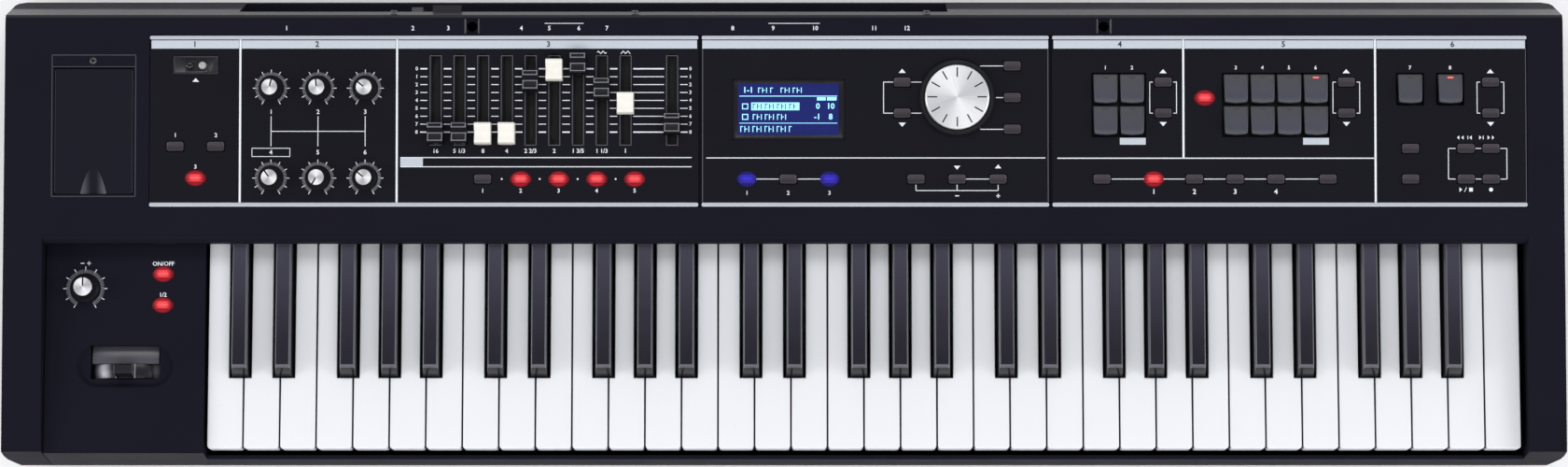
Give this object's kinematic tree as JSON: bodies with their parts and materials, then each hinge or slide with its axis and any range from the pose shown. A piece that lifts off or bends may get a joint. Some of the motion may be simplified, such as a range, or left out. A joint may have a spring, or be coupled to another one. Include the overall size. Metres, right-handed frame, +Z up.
{
  "type": "combo organ",
  "caption": "Portable stage keyboard: square-fronted keys, sliding drawbars, knobs, pads and a dial on a sloping panel, with a bender block beside the keys.",
  "frame": {"origin": "on the surface the feet stand on, at the middle of the case", "axes": "+X to the player's right, +Y from the player to the sockets, +Z up"},
  "size_m": [1.008, 0.304, 0.106],
  "materials": {
    "case_black": "fine satin grain, blue-black",
    "panel_black": "satin printed face",
    "panel_print": "pale silver-blue print",
    "print_white": "white screen print",
    "panel_bar": "silver bars on the panel",
    "key_white": "smooth, slightly cool white",
    "key_black": "gloss black",
    "button_grey": "translucent dark grey",
    "pad_grey": "satin dark grey",
    "lamp_red": "lit red lens",
    "lamp_blue": "lit blue lens",
    "drawbar_white": "smooth warm white",
    "drawbar_black": "smooth black",
    "knob_silver": "turned silver cap on a black skirt",
    "dial_silver": "radially brushed",
    "display_blue": "lit blue display under a clear lens",
    "smoked_black": "smooth black",
    "foot_rubber": "matt",
    "bracket_steel": "plated sheet",
    "screw_steel": "blackened screws",
    "frame_grey": "moulded frame",
    "board_green": "circuit board"
  },
  "bodies": {
    "case": {"upper_case": "case_black", "lower_case": "case_black", "control_block": "case_black", "organ_panel_plate": "panel_black", "display_panel_plate": "panel_black", "tone_panel_plate": "panel_black", "foot_front_left": "foot_rubber", "foot_front_right": "foot_rubber", "foot_rear_left": "foot_rubber", "foot_rear_right": "foot_rubber", "panel_board": "board_green", "key_contact_board": "board_green", "main_board": "board_green", "display_module": "display_blue", "beam_sensor": "smoked_black", "memory_port": "smoked_black", "socket_unit": "smoked_black", "control_bracket": "bracket_steel", "keybed_frame": "frame_grey"},
    "white_outer_1": {"white_keys_outer_octave_1": "key_white"},
    "white_inner_1": {"white_keys_inner_octave_1": "key_white"},
    "black_1": {"black_keys_octave_1": "key_black"},
    "white_outer_2": {"white_keys_outer_octave_2": "key_white"},
    "white_inner_2": {"white_keys_inner_octave_2": "key_white"},
    "black_2": {"black_keys_octave_2": "key_black"},
    "white_outer_3": {"white_keys_outer_octave_3": "key_white"},
    "white_inner_3": {"white_keys_inner_octave_3": "key_white"},
    "black_3": {"black_keys_octave_3": "key_black"},
    "white_outer_4": {"white_keys_outer_octave_4": "key_white"},
    "white_inner_4": {"white_keys_inner_octave_4": "key_white"},
    "black_4": {"black_keys_octave_4": "key_black"},
    "white_outer_5": {"white_keys_outer_octave_5": "key_white"},
    "white_inner_5": {"white_keys_inner_octave_5": "key_white"},
    "black_5": {"black_keys_octave_5": "key_black"},
    "slider_1": {"drawbar_1": "drawbar_black"},
    "slider_2": {"drawbar_2": "drawbar_black"},
    "slider_3": {"drawbar_3": "drawbar_white"},
    "slider_4": {"drawbar_4": "drawbar_white"},
    "slider_5": {"drawbar_5": "drawbar_black"},
    "slider_6": {"drawbar_6": "drawbar_white"},
    "slider_7": {"drawbar_7": "drawbar_black"},
    "slider_8": {"drawbar_8": "drawbar_black"},
    "slider_9": {"drawbar_9": "drawbar_white"},
    "slider_level": {"level_slider": "drawbar_black"},
    "knob_1": {"effect_knob_1": "knob_silver"},
    "knob_2": {"effect_knob_2": "knob_silver"},
    "knob_3": {"effect_knob_3": "knob_silver"},
    "knob_4": {"effect_knob_4": "knob_silver"},
    "knob_5": {"effect_knob_5": "knob_silver"},
    "knob_6": {"effect_knob_6": "knob_silver"},
    "knob_volume": {"volume_knob": "knob_silver"},
    "dial": {"value_dial": "dial_silver"},
    "yoke": {"bender_yoke": "smoked_black"},
    "lever": {"bender_lever": "smoked_black"},
    "door": {"memory_door": "case_black"},
    "power": {"power_button": "button_grey"},
    "organ_caps": {"organ_buttons": "button_grey"},
    "display_caps": {"display_buttons": "button_grey"},
    "tone_caps": {"tone_buttons": "pad_grey"},
    "rotary_caps": {"rotary_buttons": "button_grey"}
  },
  "joints": [
    {"name": "bender_push", "type": "hinge", "parent": "case", "child": "yoke", "pos_m": [-0.4244, -0.08918, 0.034], "axis": [-1, 0, 0], "range_deg": [0, 18], "stiffness_Nm_per_rad": 0.3, "springref_deg": -11.46},
    {"name": "bender_swing", "type": "hinge", "parent": "yoke", "child": "lever", "pos_m": [-0.4244, -0.08918, 0.034], "axis": [0, 1, 0], "range_deg": [-18, 18], "stiffness_Nm_per_rad": 0.2},
    {"name": "white_outer_1_press", "type": "hinge", "parent": "case", "child": "white_outer_1", "pos_m": [-0.28925, 0.03002, 0.053], "axis": [1, 0, 0], "range_deg": [0, 3.2], "stiffness_Nm_per_rad": 1, "springref_deg": -20.05},
    {"name": "white_inner_1_press", "type": "hinge", "parent": "case", "child": "white_inner_1", "pos_m": [-0.28925, 0.03702, 0.053], "axis": [1, 0, 0], "range_deg": [0, 3.2], "stiffness_Nm_per_rad": 1, "springref_deg": -20.05},
    {"name": "black_1_press", "type": "hinge", "parent": "case", "child": "black_1", "pos_m": [-0.28925, 0.04402, 0.053], "axis": [1, 0, 0], "range_deg": [0, 3.2], "stiffness_Nm_per_rad": 1, "springref_deg": -20.05},
    {"name": "slider_1_slide", "type": "slide", "parent": "case", "child": "slider_1", "axis": [0, 0.9969, 0.0785], "range_m": [0, 0.045]},
    {"name": "slider_5_slide", "type": "slide", "parent": "case", "child": "slider_5", "axis": [0, 0.9969, 0.0785], "range_m": [-0.0336, 0.0114]},
    {"name": "slider_6_slide", "type": "slide", "parent": "case", "child": "slider_6", "axis": [0, 0.9969, 0.0785], "range_m": [-0.0408, 0.0042]},
    {"name": "slider_level_slide", "type": "slide", "parent": "case", "child": "slider_level", "axis": [0, 0.9969, 0.0785], "range_m": [-0.006, 0.039]},
    {"name": "knob_1_turn", "type": "hinge", "parent": "case", "child": "knob_1", "pos_m": [-0.32979, 0.08522, 0.09323], "axis": [0, 0.0785, -0.9969], "range_deg": [-165, 135]},
    {"name": "dial_turn", "type": "hinge", "parent": "case", "child": "dial", "pos_m": [0.1112, 0.07915, 0.09275], "axis": [0, 0.0785, -0.9969], "continuous": true},
    {"name": "volume_turn", "type": "hinge", "parent": "case", "child": "knob_volume", "pos_m": [-0.4506, -0.04168, 0.069], "axis": [0, 0, -1], "range_deg": [-150, 150]},
    {"name": "door_lift", "type": "hinge", "parent": "case", "child": "door", "pos_m": [-0.4438, 0.09662, 0.09252], "axis": [-1, 0, 0], "range_deg": [0, 95]},
    {"name": "organ_caps_press", "type": "slide", "parent": "case", "child": "organ_caps", "axis": [0, 0.0785, -0.9969], "range_m": [0, 0.001], "stiffness_N_per_m": 400, "springref_m": -0.002},
    {"name": "display_caps_press", "type": "slide", "parent": "case", "child": "display_caps", "axis": [0, 0.0785, -0.9969], "range_m": [0, 0.001], "stiffness_N_per_m": 400, "springref_m": -0.002},
    {"name": "tone_caps_press", "type": "slide", "parent": "case", "child": "tone_caps", "axis": [0, 0.0785, -0.9969], "range_m": [0, 0.001], "stiffness_N_per_m": 400, "springref_m": -0.002},
    {"name": "rotary_caps_press", "type": "slide", "parent": "case", "child": "rotary_caps", "axis": [0, 0, -1], "range_m": [0, 0.001], "stiffness_N_per_m": 400, "springref_m": -0.002},
    {"name": "power_press", "type": "slide", "parent": "case", "child": "power", "axis": [0, -1, 0], "range_m": [0, 0.0025], "stiffness_N_per_m": 300, "springref_m": -0.002},
    {"name": "slider_9_slide", "type": "slide", "parent": "case", "child": "slider_9", "axis": [0, 0.9969, 0.0785], "range_m": [-0.0194, 0.0256]},
    {"name": "knob_5_turn", "type": "hinge", "parent": "case", "child": "knob_5", "pos_m": [-0.29961, 0.02751, 0.08869], "axis": [0, 0.0785, -0.9969], "range_deg": [0, 300]},
    {"name": "white_outer_5_press", "type": "hinge", "parent": "case", "child": "white_outer_5", "pos_m": [0.36875, 0.03002, 0.053], "axis": [1, 0, 0], "range_deg": [0, 3.2], "stiffness_Nm_per_rad": 1, "springref_deg": -20.05},
    {"name": "white_inner_5_press", "type": "hinge", "parent": "case", "child": "white_inner_5", "pos_m": [0.36875, 0.03702, 0.053], "axis": [1, 0, 0], "range_deg": [0, 3.2], "stiffness_Nm_per_rad": 1, "springref_deg": -20.05},
    {"name": "black_5_press", "type": "hinge", "parent": "case", "child": "black_5", "pos_m": [0.36875, 0.04402, 0.053], "axis": [1, 0, 0], "range_deg": [0, 3.2], "stiffness_Nm_per_rad": 1, "springref_deg": -20.05},
    {"name": "slider_7_slide", "type": "slide", "parent": "case", "child": "slider_7", "axis": [0, 0.9969, 0.0785], "range_m": [-0.0447, 0.0003]},
    {"name": "slider_8_slide", "type": "slide", "parent": "case", "child": "slider_8", "axis": [0, 0.9969, 0.0785], "range_m": [-0.0286, 0.0164]},
    {"name": "slider_3_slide", "type": "slide", "parent": "case", "child": "slider_3", "axis": [0, 0.9969, 0.0785], "range_m": [0, 0.045]},
    {"name": "slider_4_slide", "type": "slide", "parent": "case", "child": "slider_4", "axis": [0, 0.9969, 0.0785], "range_m": [0, 0.045]},
    {"name": "slider_2_slide", "type": "slide", "parent": "case", "child": "slider_2", "axis": [0, 0.9969, 0.0785], "range_m": [0, 0.045]},
    {"name": "knob_2_turn", "type": "hinge", "parent": "case", "child": "knob_2", "pos_m": [-0.29961, 0.08522, 0.09323], "axis": [0, 0.0785, -0.9969], "range_deg": [-145, 155]},
    {"name": "knob_3_turn", "type": "hinge", "parent": "case", "child": "knob_3", "pos_m": [-0.26929, 0.08522, 0.09323], "axis": [0, 0.0785, -0.9969], "range_deg": [-100, 200]},
    {"name": "knob_4_turn", "type": "hinge", "parent": "case", "child": "knob_4", "pos_m": [-0.32979, 0.02751, 0.08869], "axis": [0, 0.0785, -0.9969], "range_deg": [-115, 185]},
    {"name": "knob_6_turn", "type": "hinge", "parent": "case", "child": "knob_6", "pos_m": [-0.26929, 0.02751, 0.08869], "axis": [0, 0.0785, -0.9969], "range_deg": [-100, 200]},
    {"name": "white_outer_2_press", "type": "hinge", "parent": "case", "child": "white_outer_2", "pos_m": [-0.12475, 0.03002, 0.053], "axis": [1, 0, 0], "range_deg": [0, 3.2], "stiffness_Nm_per_rad": 1, "springref_deg": -20.05},
    {"name": "white_inner_2_press", "type": "hinge", "parent": "case", "child": "white_inner_2", "pos_m": [-0.12475, 0.03702, 0.053], "axis": [1, 0, 0], "range_deg": [0, 3.2], "stiffness_Nm_per_rad": 1, "springref_deg": -20.05},
    {"name": "black_2_press", "type": "hinge", "parent": "case", "child": "black_2", "pos_m": [-0.12475, 0.04402, 0.053], "axis": [1, 0, 0], "range_deg": [0, 3.2], "stiffness_Nm_per_rad": 1, "springref_deg": -20.05},
    {"name": "white_outer_3_press", "type": "hinge", "parent": "case", "child": "white_outer_3", "pos_m": [0.03975, 0.03002, 0.053], "axis": [1, 0, 0], "range_deg": [0, 3.2], "stiffness_Nm_per_rad": 1, "springref_deg": -20.05},
    {"name": "white_inner_3_press", "type": "hinge", "parent": "case", "child": "white_inner_3", "pos_m": [0.03975, 0.03702, 0.053], "axis": [1, 0, 0], "range_deg": [0, 3.2], "stiffness_Nm_per_rad": 1, "springref_deg": -20.05},
    {"name": "black_3_press", "type": "hinge", "parent": "case", "child": "black_3", "pos_m": [0.03975, 0.04402, 0.053], "axis": [1, 0, 0], "range_deg": [0, 3.2], "stiffness_Nm_per_rad": 1, "springref_deg": -20.05},
    {"name": "white_outer_4_press", "type": "hinge", "parent": "case", "child": "white_outer_4", "pos_m": [0.20425, 0.03002, 0.053], "axis": [1, 0, 0], "range_deg": [0, 3.2], "stiffness_Nm_per_rad": 1, "springref_deg": -20.05},
    {"name": "white_inner_4_press", "type": "hinge", "parent": "case", "child": "white_inner_4", "pos_m": [0.20425, 0.03702, 0.053], "axis": [1, 0, 0], "range_deg": [0, 3.2], "stiffness_Nm_per_rad": 1, "springref_deg": -20.05},
    {"name": "black_4_press", "type": "hinge", "parent": "case", "child": "black_4", "pos_m": [0.20425, 0.04402, 0.053], "axis": [1, 0, 0], "range_deg": [0, 3.2], "stiffness_Nm_per_rad": 1, "springref_deg": -20.05}
  ]
}
